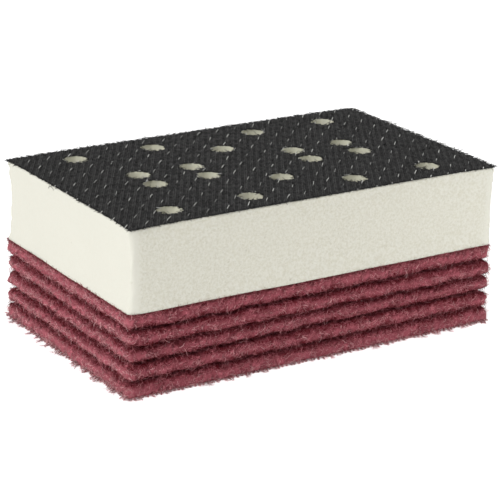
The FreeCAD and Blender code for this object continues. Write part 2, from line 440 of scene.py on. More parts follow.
class Wiring:
    """Adds nodes to a node tree, each with its values and links in one call."""

    def __init__(self, tree: bpy.types.NodeTree) -> None:
        """Work on the given tree."""
        self.tree = tree

    def add(self, kind: str, inputs: dict[Any, Any] | None = None, **settings: Any) -> bpy.types.Node:
        """Add a node.

        Args:
            kind: the node's type.
            inputs: a value or an output socket for each input, by name or number.
            settings: the node's own properties.

        Returns:
            The new node.
        """
        node = self.tree.nodes.new(kind)
        for name, value in settings.items():
            setattr(node, name, value)
        for key, value in (inputs or {}).items():
            self.feed(node.inputs[key], value)
        return node

    def feed(self, socket: bpy.types.NodeSocket, value: Any) -> None:
        """Give a socket a constant, or link it to an output."""
        if isinstance(value, bpy.types.NodeSocket):
            self.tree.links.new(value, socket)
        elif isinstance(value, tuple) and len(value) == 3 and socket.type == "RGBA":
            socket.default_value = (*value, 1.0)
        else:
            socket.default_value = value

    def math(self, operation: str, *values: Any) -> bpy.types.NodeSocket:
        """The result of a Math node."""
        return self.add("ShaderNodeMath", dict(enumerate(values)), operation=operation).outputs[0]

    def mix(self, share: Any, first: Any, second: Any, blend: str = "MIX") -> bpy.types.NodeSocket:
        """The result of mixing two colours."""
        node = self.add("ShaderNodeMix", data_type="RGBA", blend_type=blend)
        self.feed(node.inputs[0], share)
        self.feed(node.inputs[6], first)
        self.feed(node.inputs[7], second)
        return node.outputs[2]

    def ramp(self, value: Any, low: Any, high: Any, bottom: Any = 0.0,
             top: Any = 1.0) -> bpy.types.NodeSocket:
        """A value carried from the range low to high onto the range bottom to top."""
        inputs = {"Value": value, "From Min": low, "From Max": high, "To Min": bottom, "To Max": top}
        node = self.add("ShaderNodeMapRange", inputs, interpolation_type="SMOOTHSTEP")
        return node.outputs["Result"]

    def noise(self, vector: Any, scale: Any, detail: float = 2.0,
              distortion: float = 0.0) -> bpy.types.NodeSocket:
        """The grey value of a noise texture."""
        inputs = {"Vector": vector, "Scale": scale, "Detail": detail, "Distortion": distortion}
        return self.add("ShaderNodeTexNoise", inputs).outputs["Fac"]


@dataclass(frozen=True)
class Effect:
    """A shader node group that several finishes share.

    Attributes:
        name: the group's name.
        inputs: the name and default of each value that it takes besides the place.
        outputs: the names of the values that it gives.
    """

    name: str
    inputs: tuple[tuple[str, float], ...]
    outputs: tuple[str, ...]

    def wire(self, wiring: Wiring, given: bpy.types.Node) -> dict[str, bpy.types.NodeSocket]:
        """Build the group's inside and return the socket for each output."""
        raise NotImplementedError

    def tree(self) -> bpy.types.NodeTree:
        """The node group, built the first time that it is asked for."""
        if self.name in bpy.data.node_groups:
            return bpy.data.node_groups[self.name]
        tree = bpy.data.node_groups.new(self.name, "ShaderNodeTree")
        tree.interface.new_socket("Place", in_out="INPUT", socket_type="NodeSocketVector")
        for name, value in self.inputs:
            socket = tree.interface.new_socket(name, in_out="INPUT", socket_type="NodeSocketFloat")
            socket.default_value = value
        for name in self.outputs:
            tree.interface.new_socket(name, in_out="OUTPUT", socket_type="NodeSocketFloat")
        wiring = Wiring(tree)
        made = self.wire(wiring, wiring.add("NodeGroupInput"))
        wiring.add("NodeGroupOutput", made)
        return tree

    def place(self, wiring: Wiring, place: Any, **values: Any) -> bpy.types.Node:
        """Put the group into a material's tree.

        Args:
            wiring: the material's tree.
            place: the coordinates that the effect follows.
            values: the group's other inputs, by name.

        Returns:
            The group node.
        """
        node = wiring.add("ShaderNodeGroup", node_tree=self.tree())
        wiring.feed(node.inputs["Place"], place)
        for name, value in values.items():
            wiring.feed(node.inputs[name], value)
        return node


class StrandWeb(Effect):
    """Thin tangled strands: the narrow bands where two warped noises cross their middle."""

    def wire(self, wiring: Wiring, given: bpy.types.Node) -> dict[str, bpy.types.NodeSocket]:
        """Give the strands' mask and their height."""
        place = given.outputs["Place"]
        width = given.outputs["Width"]
        layers = []
        for turn, share in ((0.0, 1.0), (1.1, 1.45)):
            rotation = (turn, 0.4 * turn, turn)
            turned = wiring.add("ShaderNodeMapping", {"Vector": place, "Rotation": rotation})
            scale = wiring.math("MULTIPLY", given.outputs["Scale"], share)
            noise = wiring.noise(turned.outputs[0], scale, 1.0, 1.2)
            away = wiring.math("ABSOLUTE", wiring.math("SUBTRACT", noise, 0.5))
            layers.append(wiring.ramp(away, 0.0, width, 1.0, 0.0))
        strands = wiring.math("MAXIMUM", *layers)
        return {"Strands": strands, "Height": strands}


class Speckle(Effect):
    """Fine grain: small pits in the middles of scattered cells, over a soft cloudiness."""

    def wire(self, wiring: Wiring, given: bpy.types.Node) -> dict[str, bpy.types.NodeSocket]:
        """Give the pits' mask, the clouds' shade and the height of both."""
        place = given.outputs["Place"]
        scale = given.outputs["Scale"]
        cells = wiring.add("ShaderNodeTexVoronoi", {"Vector": place, "Scale": scale})
        pits = wiring.ramp(cells.outputs["Distance"], 0.0, given.outputs["Pit"], 1.0, 0.0)
        chosen = wiring.add("ShaderNodeSeparateColor", {"Color": cells.outputs["Color"]})
        rare = wiring.math("LESS_THAN", chosen.outputs[0], given.outputs["Share"])
        marks = wiring.math("MULTIPLY", pits, rare)
        clouds = wiring.noise(place, wiring.math("MULTIPLY", scale, 0.35), 4.0)
        height = wiring.math("SUBTRACT", clouds, marks)
        return {"Pits": marks, "Clouds": clouds, "Height": height}


STRANDS = StrandWeb("strand_web", (("Scale", 500.0), ("Width", 0.05)), ("Strands", "Height"))
SPECKLE = Speckle("speckle", (("Scale", 900.0), ("Pit", 0.4), ("Share", 0.5)),
                  ("Pits", "Clouds", "Height"))


# ---------------------------------------------------------------------------
# Finishes
# ---------------------------------------------------------------------------


@dataclass(frozen=True)
class Finish:
    """A material of this object.

    Attributes:
        name: the material's name.
        roughness: how matt the surface is.
        gloss: the specular level of its highlights.
    """

    name: str
    roughness: float = 0.9
    gloss: float = 0.2

    def wire(self, wiring: Wiring, shader: bpy.types.Node, place: bpy.types.NodeSocket) -> None:
        """Wire the finish's nodes into its shader."""
        raise NotImplementedError

    def material(self) -> bpy.types.Material:
        """The material, built the first time that it is asked for."""
        if self.name in bpy.data.materials:
            return bpy.data.materials[self.name]
        material = bpy.data.materials.new(self.name)
        material.use_nodes = True
        wiring = Wiring(material.node_tree)
        shader = material.node_tree.nodes["Principled BSDF"]
        shader.inputs["Roughness"].default_value = self.roughness
        shader.inputs["Specular IOR Level"].default_value = self.gloss
        place = wiring.add("ShaderNodeTexCoord").outputs["Object"]
        self.wire(wiring, shader, place)
        return material


def strand_tint(wiring: Wiring) -> bpy.types.NodeSocket:
    """The tint attribute of the surface."""
    return wiring.add("ShaderNodeAttribute", attribute_name=TINT).outputs["Fac"]


def bump(wiring: Wiring, shader: bpy.types.Node, height: Any, depth: float) -> None:
    """Give a shader a bump of the given depth in metres."""
    node = wiring.add("ShaderNodeBump", {"Height": height, "Distance": depth, "Strength": 1.0})
    wiring.feed(shader.inputs["Normal"], node.outputs[0])


@dataclass(frozen=True)
class FleeceWebFinish(Finish):
    """The inside of the fleece: dark maroon, with strands that catch the light."""

    deep: Colour = (0.085, 0.005, 0.009)
    strand: Colour = (0.46, 0.13, 0.16)

    def wire(self, wiring: Wiring, shader: bpy.types.Node, place: bpy.types.NodeSocket) -> None:
        """Mix the deep and the strand colour by the web of strands."""
        web = STRANDS.place(wiring, place, Scale=700.0, Width=0.06)
        grain = SPECKLE.place(wiring, place, Scale=900.0, Pit=0.5, Share=0.6)
        patchy = wiring.ramp(grain.outputs["Clouds"], 0.35, 0.7, 0.25, 1.0)
        share = wiring.math("MULTIPLY", web.outputs["Strands"], patchy)
        # the tint carries painted shade and light: the deep colour in the seams, the strand colour on
        # crests and ends
        ground = wiring.mix(strand_tint(wiring), self.deep, self.strand)
        colour = wiring.mix(share, ground, self.strand)
        wiring.feed(shader.inputs["Base Color"], colour)
        bump(wiring, shader, web.outputs["Height"], 0.25 * MM)


@dataclass(frozen=True)
class FibreFinish(Finish):
    """A single fleece fibre: from dark wine through maroon to a pale dusty pink."""

    dark: Colour = (0.125, 0.010, 0.014)
    middle: Colour = (0.47, 0.160, 0.180)
    light: Colour = (0.70, 0.40, 0.41)

    def wire(self, wiring: Wiring, shader: bpy.types.Node, place: bpy.types.NodeSocket) -> None:
        """Pick the colour by the fibre's tint, with mineral grains here and there."""
        tint = strand_tint(wiring)
        # the tint carries the painted shade and light of the pads' edges and of the fibres under the
        # foam
        lower = wiring.mix(wiring.ramp(tint, 0.0, 0.5), self.dark, self.middle)
        body = wiring.mix(wiring.ramp(tint, 0.5, 1.0), lower, self.light)
        grain = SPECKLE.place(wiring, place, Scale=1800.0, Pit=0.6, Share=0.3)
        shade = wiring.ramp(grain.outputs["Clouds"], 0.3, 0.7, 0.72, 1.15)
        grey = wiring.add("ShaderNodeCombineColor", {0: shade, 1: shade, 2: shade}).outputs[0]
        shaded = wiring.mix(1.0, body, grey, "MULTIPLY")
        colour = wiring.mix(grain.outputs["Pits"], shaded, self.dark)
        wiring.feed(shader.inputs["Base Color"], colour)
        bump(wiring, shader, grain.outputs["Height"], 0.03 * MM)


@dataclass(frozen=True)
class FoamFinish(Finish):
    """Fine-celled cream foam: tiny pores, faint clouds, and a few larger pinholes."""

    cream: Colour = (0.54, 0.533, 0.472)
    shade: Colour = (0.475, 0.46, 0.38)
    pore: Colour = (0.34, 0.32, 0.25)
    stained: Colour = (0.60, 0.59, 0.48)

    def wire(self, wiring: Wiring, shader: bpy.types.Node, place: bpy.types.NodeSocket) -> None:
        """Lay clouds, pores and pinholes over the cream.

        A tint of 0 is a stained bore, 0.5 a smooth end wall, and 1 an open-pored wall.
        The clouds darken the open-pored walls towards the shade colour much more than the
        end walls: partly real blotches and partly painted shade, which keeps the long walls
        darker than the ends.
        """
        tint = strand_tint(wiring)
        pores_and_shade = wiring.ramp(tint, 0.5, 1.0, 0.15, 1.0)
        pores = SPECKLE.place(wiring, place, Scale=3600.0, Pit=0.5, Share=0.4)
        pinholes = SPECKLE.place(wiring, place, Scale=260.0, Pit=0.16, Share=0.10)
        clouds = wiring.ramp(pores.outputs["Clouds"], 0.35, 0.7, 0.0, 0.85)
        # partly real blotches, partly painted shade: walls tinted 1 are clouded darker than the end
        # walls
        clean = wiring.mix(wiring.math("MULTIPLY", clouds, pores_and_shade), self.cream, self.shade)
        body = wiring.mix(wiring.ramp(tint, 0.0, 0.5), self.stained, clean)
        open_pores = wiring.math("MULTIPLY", pores.outputs["Pits"], pores_and_shade)
        speckled = wiring.mix(wiring.math("MULTIPLY", open_pores, 0.65), body, self.pore)
        holes = wiring.math("MULTIPLY", pinholes.outputs["Pits"], 0.7)
        pinned = wiring.mix(holes, speckled, self.pore)
        wiring.feed(shader.inputs["Base Color"], pinned)
        rough = wiring.math("MULTIPLY", pores.outputs["Height"], pores_and_shade)
        height = wiring.math("SUBTRACT", rough, pinholes.outputs["Pits"])
        bump(wiring, shader, height, 0.10 * MM)


@dataclass(frozen=True)
class ClothFinish(Finish):
    """Black nylon yarn: filaments along it, grey on its high spots, a little dust. It is
    tinted near black, as painted shade, on the ground between the ribs and at the ends
    of the knitted loops.
    """

    black: Colour = (0.006, 0.006, 0.006)
    yarn_grey: Colour = (0.056, 0.055, 0.054)
    dust: Colour = (0.12, 0.12, 0.11)

    def wire(self, wiring: Wiring, shader: bpy.types.Node, place: bpy.types.NodeSocket) -> None:
        """Lighten the black by the tint, and scatter lint and dust on it."""
        lint = STRANDS.place(wiring, place, Scale=1100.0, Width=0.03)
        grain = SPECKLE.place(wiring, place, Scale=1300.0, Pit=0.35, Share=0.12)
        yarn_grey = wiring.mix(strand_tint(wiring), self.black, self.yarn_grey)
        share = wiring.math("MULTIPLY", lint.outputs["Strands"], 0.12)
        linted = wiring.mix(share, yarn_grey, self.yarn_grey)
        dusty = wiring.mix(wiring.math("MULTIPLY", grain.outputs["Pits"], 0.45), linted, self.dust)
        wiring.feed(shader.inputs["Base Color"], dusty)
        rough = wiring.ramp(grain.outputs["Clouds"], 0.3, 0.7, 0.5, 0.8)
        wiring.feed(shader.inputs["Roughness"], rough)
        bump(wiring, shader, lint.outputs["Height"], 0.05 * MM)


@dataclass(frozen=True)
class StitchFinish(Finish):
    """Pale polyester thread, greyed at random, and greyed as painted shade where it sinks
    into the cloth and towards its ends.
    """

    pale: Colour = (0.50, 0.50, 0.475)
    grey: Colour = (0.10, 0.10, 0.098)

    def wire(self, wiring: Wiring, shader: bpy.types.Node, place: bpy.types.NodeSocket) -> None:
        """Mix the pale and the grey thread by the tint and by a fine grain."""
        grain = SPECKLE.place(wiring, place, Scale=1600.0, Pit=0.4, Share=0.4)
        share = wiring.math("MULTIPLY", strand_tint(wiring),
                            wiring.ramp(grain.outputs["Clouds"], 0.25, 0.6, 0.55, 1.0))
        wiring.feed(shader.inputs["Base Color"], wiring.mix(share, self.grey, self.pale))
        bump(wiring, shader, grain.outputs["Height"], 0.04 * MM)


@dataclass(frozen=True)
class GlueFinish(Finish):
    """The dried adhesive: grey, uneven, a little glossy."""

    thin: Colour = (0.10, 0.10, 0.095)
    thick: Colour = (0.24, 0.23, 0.20)

    def wire(self, wiring: Wiring, shader: bpy.types.Node, place: bpy.types.NodeSocket) -> None:
        """Mottle the adhesive from thin to thick."""
        grain = SPECKLE.place(wiring, place, Scale=400.0, Pit=0.4, Share=0.4)
        share = wiring.ramp(grain.outputs["Clouds"], 0.3, 0.7)
        wiring.feed(shader.inputs["Base Color"], wiring.mix(share, self.thin, self.thick))
        bump(wiring, shader, grain.outputs["Height"], 0.05 * MM)


@dataclass(frozen=True)
class FloorFinish(Finish):
    """A plain pale light table, very slightly uneven, which glows a little from below."""

    pale: Colour = (0.90, 0.90, 0.90)
    paler: Colour = (0.93, 0.93, 0.93)
    glow: float = 0.3

    def wire(self, wiring: Wiring, shader: bpy.types.Node, place: bpy.types.NodeSocket) -> None:
        """Cloud the floor by a hair's breadth of grey."""
        clouds = wiring.noise(place, 3.0)
        colour = wiring.mix(clouds, self.pale, self.paler)
        wiring.feed(shader.inputs["Base Color"], colour)
        wiring.feed(shader.inputs["Emission Color"], colour)
        shader.inputs["Emission Strength"].default_value = self.glow


WEB = FleeceWebFinish("fleece_web", roughness=1.0, gloss=0.05)
FIBRE = FibreFinish("fleece_fibre", roughness=0.85, gloss=0.15)
FOAM = FoamFinish("cream_foam", roughness=0.95, gloss=0.1)
CLOTH = ClothFinish("black_knit", roughness=0.7, gloss=0.12)
STITCH = StitchFinish("tie_thread", roughness=0.7, gloss=0.3)
GLUE = GlueFinish("dried_adhesive", roughness=0.5, gloss=0.4)
FLOOR = FloorFinish("studio_floor", roughness=0.9, gloss=0.1)


def pull_corners(points: np.ndarray) -> np.ndarray:
    """Draw the block's upper corners out and down a little, as the stiff facing does.

    The share moved is the eighth power of the distance along each side, times the
    square of the height above the foam's lower face.

    Args:
        points: places on the block, with x, y, z last.

    Returns:
        The moved places.
    """
    reach, droop, keenness = 0.45 * MM, 0.40 * MM, 8
    low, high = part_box("foam_core")
    half = np.array([high.x, high.y])
    sides = np.minimum(np.abs(points[..., :2]) / half, 1.05) ** keenness
    lift = np.clip((points[..., 2] - low.z) / (high.z - low.z), 0.0, 1.0) ** 2
    share = sides.prod(axis=-1) * lift
    moved = points.copy()
    moved[..., :2] += np.sign(points[..., :2]) * reach * share[..., None]
    moved[..., 2] -= droop * share
    return moved


def warp_stack(points: np.ndarray) -> np.ndarray:
    """Let the seams of the stack wander up and down together, so that the pads stay apart.

    The height moves by smooth noise of the place, which fades to nothing on the floor
    and under the foam.

    Args:
        points: places in the stack, with x, y, z last.

    Returns:
        The moved places.
    """
    wave_size, wave_height, fade_over = 11.0 * MM, 0.18 * MM, 4.0 * MM
    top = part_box("foam_core")[0].z
    heights = points[..., 2]
    fade = np.clip(np.minimum(heights, top - heights) / fade_over, 0.0, 1.0)
    wander = smooth_noise(points.reshape(-1, 3), wave_size, 900).reshape(heights.shape)
    moved = points.copy()
    moved[..., 2] += wave_height * wander * fade
    return moved


def settle(piece: bpy.types.Object, body: str) -> None:
    """Let a piece ride on a body, and report it."""
    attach(piece, body)
    LOG.info("%s rides on %s, %d faces", piece.name, body, len(piece.data.polygons))


# ---------------------------------------------------------------------------
# The fleece pads
# ---------------------------------------------------------------------------


@dataclass
class FleecePad:
    """One loose pad of abrasive fleece: a lumpy web with crimped fibres on it.

    Attributes:
        number: its place in the stack, from 1 at the bottom.
        edge: how far its rounded edge reaches inwards.
        fullness: exponent of the edge's superellipse; 2 is an ellipse.
        pressed_fullness: the same for the stack's lowest and highest edges, pressed square.
        skin: how far the web stays below the loose fibres on its faces.
        proud: how far the web swells past the CAD pad's sides.
        around: vertices round the pad.
        edge_rings: rings of vertices over the rounded edge.
        face_rings: rings of vertices on each face, from the edge to the middle.
        fringe: fibres on the edge.
        nap: fibres on the two faces.
        sprawl: fibres that the lowest pad spreads over the table.
        ruff: fibres that the highest pad stands up against the foam.
    """

    number: int
    edge: float = 2.0 * MM
    fullness: float = 2.4
    pressed_fullness: float = 5.0
    skin: float = 0.25 * MM
    proud: float = 0.35 * MM
    around: int = 560
    edge_rings: int = 15
    face_rings: int = 8
    fringe: int = 7400
    nap: int = 1000
    sprawl: int = 4608
    ruff: int = 3200

    def __post_init__(self) -> None:
        """Take the pad's outline and levels from its node."""
        low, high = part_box(self.node)
        self.floor = low.z
        self.thickness = high.z - low.z
        middle = 0.5 * (low + high)
        half = 0.5 * (high - low)
        corner = 0.7 * MM
        self.outline = Outline(half.x + self.proud, half.y + self.proud, corner, (middle.x, middle.y))
        self.is_lowest = self.number == 1
        under_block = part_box("foam_core")[0].z - 0.5 * self.thickness
        self.is_highest = high.z > under_block
        self.draw = np.random.default_rng(100 + self.number)

    @property
    def node(self) -> str:
        """The CAD node that the pad replaces, which is also its body's name."""
        return f"fleece_pad_{self.number}"

    def edge_profile(self, angle: np.ndarray) -> tuple[np.ndarray, np.ndarray]:
        """The rounded edge at an angle from -90 degrees, underneath, to 90, on top.

        It is half a superellipse: the inset is the edge's reach times one less the
        cosine to the power 2/n, and the height follows the sine to the same power.

        Args:
            angle: angles in radians.

        Returns:
            The inset from the outline, and the height above the pad's floor.
        """
        sole = self.is_lowest & (angle < 0.0)
        pressed = sole | self.is_highest & (angle > 0.0)
        power = 2.0 / np.where(pressed, self.pressed_fullness, self.fullness)
        inset = self.edge * (1.0 - np.abs(np.cos(angle)) ** power)
        rise = np.sign(np.sin(angle)) * np.abs(np.sin(angle)) ** power
        half = 0.5 * self.thickness
        skin = np.where(sole, 0.2 * self.skin, self.skin)
        return inset, half + (half - skin) * rise

    def web(self) -> Shape:
        """The pad's own body: the rounded edge carried round the outline, and two faces.

        The faces are the edge's last rings scaled towards the middle. Every vertex is
        then moved in or out by smooth noise of two wavelengths, and inwards only on
        the faces, so that the pads stay off each other.
        """
        centre = np.array(self.outline.centre)
        angles = np.linspace(-0.25 * TAU, 0.25 * TAU, self.edge_rings)
        insets, heights = self.edge_profile(angles)
        sides = np.stack([self.outline.shrunk(inset).walk(self.around)[0] for inset in insets])
        crowding = 0.8
        shrink = np.linspace(1.0, 0.0, self.face_rings + 1)[1:-1] ** crowding
        faces = centre + (sides[0] - centre)[None] * shrink[:, None, None]
        rings = np.concatenate([faces[::-1], sides, faces])
        levels = np.concatenate([np.full(len(shrink), heights[0]), heights,
                                 np.full(len(shrink), heights[-1])])
        tall = np.broadcast_to(levels[:, None, None], (*rings.shape[:2], 1))
        points = np.concatenate([rings, self.floor + tall], axis=2)
        poles = np.array([[*centre, self.floor + heights[0]], [*centre, self.floor + heights[-1]]])
        flat = np.concatenate([points.reshape(-1, 3), poles])
        flat, tint = self._roughen(flat)
        number = np.arange(rings.shape[0] * self.around).reshape(rings.shape[0], self.around)
        onward = np.roll(number, -1, axis=1)
        quads = np.stack([number[:-1], onward[:-1], onward[1:], number[1:]], axis=-1)
        bottom_pole, top_pole = len(flat) - 2, len(flat) - 1
        bottom = np.stack([np.full(self.around, bottom_pole), onward[0], number[0]], axis=-1)
        top = np.stack([np.full(self.around, top_pole), number[-1], onward[-1]], axis=-1)
        return Shape(flat, [quads.reshape(-1, 4), np.concatenate([bottom, top])], tint)

    def _roughen(self, points: np.ndarray) -> tuple[np.ndarray, np.ndarray]:
        """Push the web in and out by noise, and tint it with painted light and shade: its lumps
        lighter than its hollows, its crests lighter than its seams, and its ends lighter than
        its long sides.

        Args:
            points: the web's vertices.

        Returns:
            The moved vertices, and the tint of each.
        """
        lump_size, lump_depth, lump_tint = 6.0 * MM, 0.14 * MM, 0.08
        tuft_size, tuft_depth, tuft_tint = 1.6 * MM, 0.20 * MM, 0.16
        crest_tint, side_share, end_gain = 0.66, 0.70, 0.40
        dish = 0.12 * MM
        lumps = smooth_noise(points, lump_size, 10 * self.number)
        tufts = smooth_noise(points, tuft_size, 10 * self.number + 1)
        inside = self.outline.distance_inside(points[:, :2])
        on_edge = np.clip(1.0 - inside / (2.0 * self.edge), 0.0, 1.0)[:, None]
        from_middle = points[:, :2] - np.array(self.outline.centre)
        core = np.array([self.outline.half_x, self.outline.half_y]) - 2.0 * self.edge
        outward = unit(from_middle - np.clip(from_middle, -core, core))
        push = (lump_depth * lumps + tuft_depth * tufts)[:, None]
        moved = points.copy()
        moved[:, :2] += outward * push * on_edge
        sag = dish * (1.0 + np.tanh(lumps))
        above = points[:, 2] > self.floor + 0.5 * self.thickness
        moved[:, 2] += np.where(above, -sag, sag)
        # painted light and shade: crests lighter than seams, ends lighter than long sides, lumps
        # lighter than hollows
        shown = self._painted_edge_light(points[:, 2])
        tear_depth_and_end_light = side_share + end_gain * np.abs(outward[:, 0])
        tint = (crest_tint * shown + lump_tint * lumps + tuft_tint * tufts) * tear_depth_and_end_light
        return warp_stack(moved), np.clip(tint, 0.0, 1.0)

    def fringe_paths(self) -> tuple[np.ndarray, np.ndarray]:
        """Crimped fibres that stand out of the rounded edge.

        Each starts just inside the web and runs along a circular arc, whose plane and
        radius are random. The part of it that points out of the edge is pressed
        back: the distance becomes the fibre's reach times tanh of itself over the
        reach. So most fibres lie close to the edge and a few stand off it.

        Returns:
            The stations of each fibre, and a tint for each.
        """
        stations = 4
        highest = 0.96
        lowest = -0.8 if self.is_lowest else -highest
        shift, buried = 0.4, (0.05, 0.4)
        sideways, outwards, upwards = 0.9, (0.3, 1.6), 0.5
        bend_radii, lengths = (0.4, 1.8), (0.9, 2.9)
        reach_shape, reach_scale, longest_reach, least_reach = 2.0, 0.50, 2.6, 0.35
        past_face = 0.45 * MM
        side_share, end_gain, clump_size, clump_tint, spread = 0.62, 0.26, 2.0 * MM, 0.15, 0.10

        count = self.fringe
        draw = self.draw
        spots = draw.integers(0, self.around, count)
        places, normals = self.outline.walk(self.around)
        angle = np.arcsin(draw.uniform(lowest, highest, count))
        inset, height = self.edge_profile(angle)
        out = np.concatenate([normals[spots], np.zeros((count, 1))], axis=1)
        along = np.stack([-out[:, 1], out[:, 0], np.zeros(count)], axis=1)
        up = np.array([0.0, 0.0, 1.0])
        root = np.concatenate([places[spots], (self.floor + height)[:, None]], axis=1)
        root += along * draw.uniform(-shift, shift, (count, 1)) * MM
        root -= out * (inset + draw.uniform(*buried, count) * MM)[:, None]
        heading = unit(along * draw.normal(0.0, sideways, (count, 1))
                       + out * draw.uniform(*outwards, (count, 1))
                       + up * draw.normal(0.0, upwards, (count, 1)))
        swing = unit(np.cross(heading, unit(draw.normal(size=(count, 3)))))
        radius = draw.uniform(*bend_radii, count) * MM
        length = draw.uniform(*lengths, count) * MM
        travel = np.linspace(0.0, 1.0, stations) * length[:, None]
        turn = travel / radius[:, None]
        offset = (heading[:, None] * (radius[:, None] * np.sin(turn))[..., None]
                  + swing[:, None] * (radius[:, None] * (1.0 - np.cos(turn)))[..., None])
        grown = np.minimum(draw.gamma(reach_shape, reach_scale, count), longest_reach)[:, None]
        reach = grown * MM + least_reach * MM
        gone_out = (offset * out[:, None]).sum(axis=2)
        pressed = reach * np.tanh(gone_out / reach)
        offset += out[:, None] * (pressed - gone_out)[..., None]
        paths = root[:, None] + offset
        paths[..., 2] = self._keep_level(paths[..., 2], past_face)
        clumps = clump_tint * smooth_noise(root, clump_size, 10 * self.number + 2)
        # painted light and shade: ends lighter than long sides, crests lighter than seams
        lit = (side_share + end_gain * np.abs(out[:, 0])) * self._painted_edge_light(root[:, 2])
        tint = np.clip(draw.normal(0.0, spread, count) + clumps + lit, 0.0, 1.0)
        return warp_stack(paths), tint

    def nap_paths(self) -> tuple[np.ndarray, np.ndarray]:
        """Crimped fibres that lie flat on the two faces, along gentle arcs.

        Returns:
            The stations of each fibre, and a tint for each.
        """
        stations = 5
        curliness, lengths = 0.35, (3.0, 7.0)
        depth, wave_depth, wave_length = 0.55, 0.35, 0.9 * MM
        count = self.nap
        draw = self.draw
        margin = self.edge
        centre = np.array(self.outline.centre)
        half = np.array([self.outline.half_x, self.outline.half_y]) - margin
        root = draw.uniform(-1.0, 1.0, (count, 2)) * half + centre
        bearing = draw.uniform(0.0, TAU, count)
        curl = draw.normal(0.0, curliness, count) / MM
        length = draw.uniform(*lengths, count) * MM
        travel = np.linspace(0.0, 1.0, stations) * length[:, None]
        facing = bearing[:, None] + curl[:, None] * travel
        step = np.diff(travel, axis=1)
        run_x = np.cumsum(step * np.cos(facing[:, :-1]), axis=1)
        run_y = np.cumsum(step * np.sin(facing[:, :-1]), axis=1)
        run = np.stack([np.pad(axis, ((0, 0), (1, 0))) for axis in (run_x, run_y)], axis=-1)
        limit = np.array([self.outline.half_x, self.outline.half_y]) - 0.5 * margin
        flat = centre + np.clip(root[:, None] + run - centre, -limit, limit)
        top = draw.uniform(size=count) < 0.5
        ripple = np.sin(travel / wave_length + bearing[:, None])
        wave = self.skin * (depth + wave_depth * ripple)
        face = np.where(top, self.floor + self.thickness, self.floor)[:, None]
        heights = face - np.where(top, 1.0, -1.0)[:, None] * wave
        paths = np.concatenate([flat, heights[..., None]], axis=2)
        return warp_stack(paths), np.clip(draw.normal(0.5, 0.2, count), 0.0, 1.0)

    def sprawl_paths(self) -> tuple[np.ndarray, np.ndarray]:
        """Fibres that run out of the sole's edge and come down on the table.

        They gather into pointed tufts: each runs towards the tip of its tuft, and the
        height falls in proportion to the distance run.

        Returns:
            The stations of each fibre, and a tint for each.
        """
        stations, begin = 4, -0.5
        tuft_size, tip_range, gathering = 16, (3, 13), 0.8
        lowest, highest = 0.12 * MM, 1.0 * MM
        longest_tuft, least_length, skew, curl = 3.2, 0.25 * MM, 0.25, 0.10
        places, normals = self.outline.walk(self.sprawl)
        tuft = np.arange(self.sprawl) // tuft_size
        tufts = int(tuft[-1]) + 1
        middle_fibre = tuft * tuft_size + self.draw.integers(*tip_range, tufts)[tuft]
        tip = places[np.minimum(middle_fibre, self.sprawl - 1)]
        longest = np.minimum(self.draw.gamma(1.8, 0.75, tufts), longest_tuft)[tuft] * MM
        length = (longest * self.draw.uniform(0.25, 1.0, self.sprawl) + least_length)[:, None]
        share = np.linspace(begin, 1.0, stations)
        flat = edge_arcs(self.draw, places, normals, share * length, skew, curl)
        gathered = gathering * np.clip(share, 0.0, 1.0)[:, None] * (tip - places)[:, None]
        start = self.draw.uniform(lowest, highest, self.sprawl)[:, None]
        heights = lowest + (start - lowest) * np.clip(1.0 - share, 0.0, 1.0)
        paths = np.concatenate([flat + gathered, heights[..., None]], axis=2)
        return paths, np.clip(self.draw.normal(0.24, 0.15, self.sprawl), 0.0, 1.0)

    def ruff_paths(self) -> tuple[np.ndarray, np.ndarray]:
        """Fibres of the highest pad's edge that stand up before the foam.

        The height rises in proportion to the distance run. The fibres are tinted dark, as
        painted shade under the foam.

        Returns:
            The stations of each fibre, and a tint for each.
        """
        stations, begin, level_at = 4, -0.6, -0.3
        buried, skew, curl = 0.1 * MM, 0.9, 0.35
        longest, highest_rise, below_top = 0.8, 1.0, (0.15, 0.6)
        top = self.floor + self.thickness
        places, normals = self.outline.walk(self.ruff)
        length = np.minimum(self.draw.gamma(2.2, 0.13, self.ruff), longest)[:, None] * MM
        share = np.linspace(begin, 1.0, stations)
        flat = edge_arcs(self.draw, places - buried * normals, normals, share * length, skew, curl)
        start = top - self.draw.uniform(*below_top, self.ruff)[:, None] * MM
        rise = np.minimum(self.draw.gamma(2.0, 0.22, self.ruff), highest_rise)[:, None] * MM
        heights = start + rise * (share - level_at)
        paths = np.concatenate([flat, heights[..., None]], axis=2)
        # painted shade under the foam: a dark tint
        return warp_stack(paths), np.clip(self.draw.normal(0.12, 0.15, self.ruff), 0.0, 1.0)

    def _painted_edge_light(self, heights: np.ndarray) -> np.ndarray:
        """The painted light and shade of the edge at some heights: 0, painted shade, in a seam,
        about 1, painted light, half way up.

        The painted shade falls evenly towards the seams with the other pads, hardly at all
        towards the table, and less than elsewhere towards the foam.

        Args:
            heights: where to read it.

        Returns:
            One number for each height.
        """
        to_foam, to_table = 0.6, 0.1
        crest, fall, most = 1.25, 1.70, 1.08
        half = 0.5 * self.thickness
        from_middle = np.abs(heights - self.floor - half) / half
        above = heights > self.floor + half
        against_block = np.where(above & self.is_highest, to_foam, 1.0)
        seam = from_middle * np.where(~above & self.is_lowest, to_table, against_block)
        return np.clip(crest - fall * seam, 0.0, most)

    def _keep_level(self, heights: np.ndarray, spare: float) -> np.ndarray:
        """Hold heights between the pad's faces, give or take a little, and off the floor."""
        off_floor = 0.12 * MM
        lowest = max(self.floor - spare, off_floor)
        highest = self.floor + self.thickness + spare
        return np.clip(heights, lowest, highest)

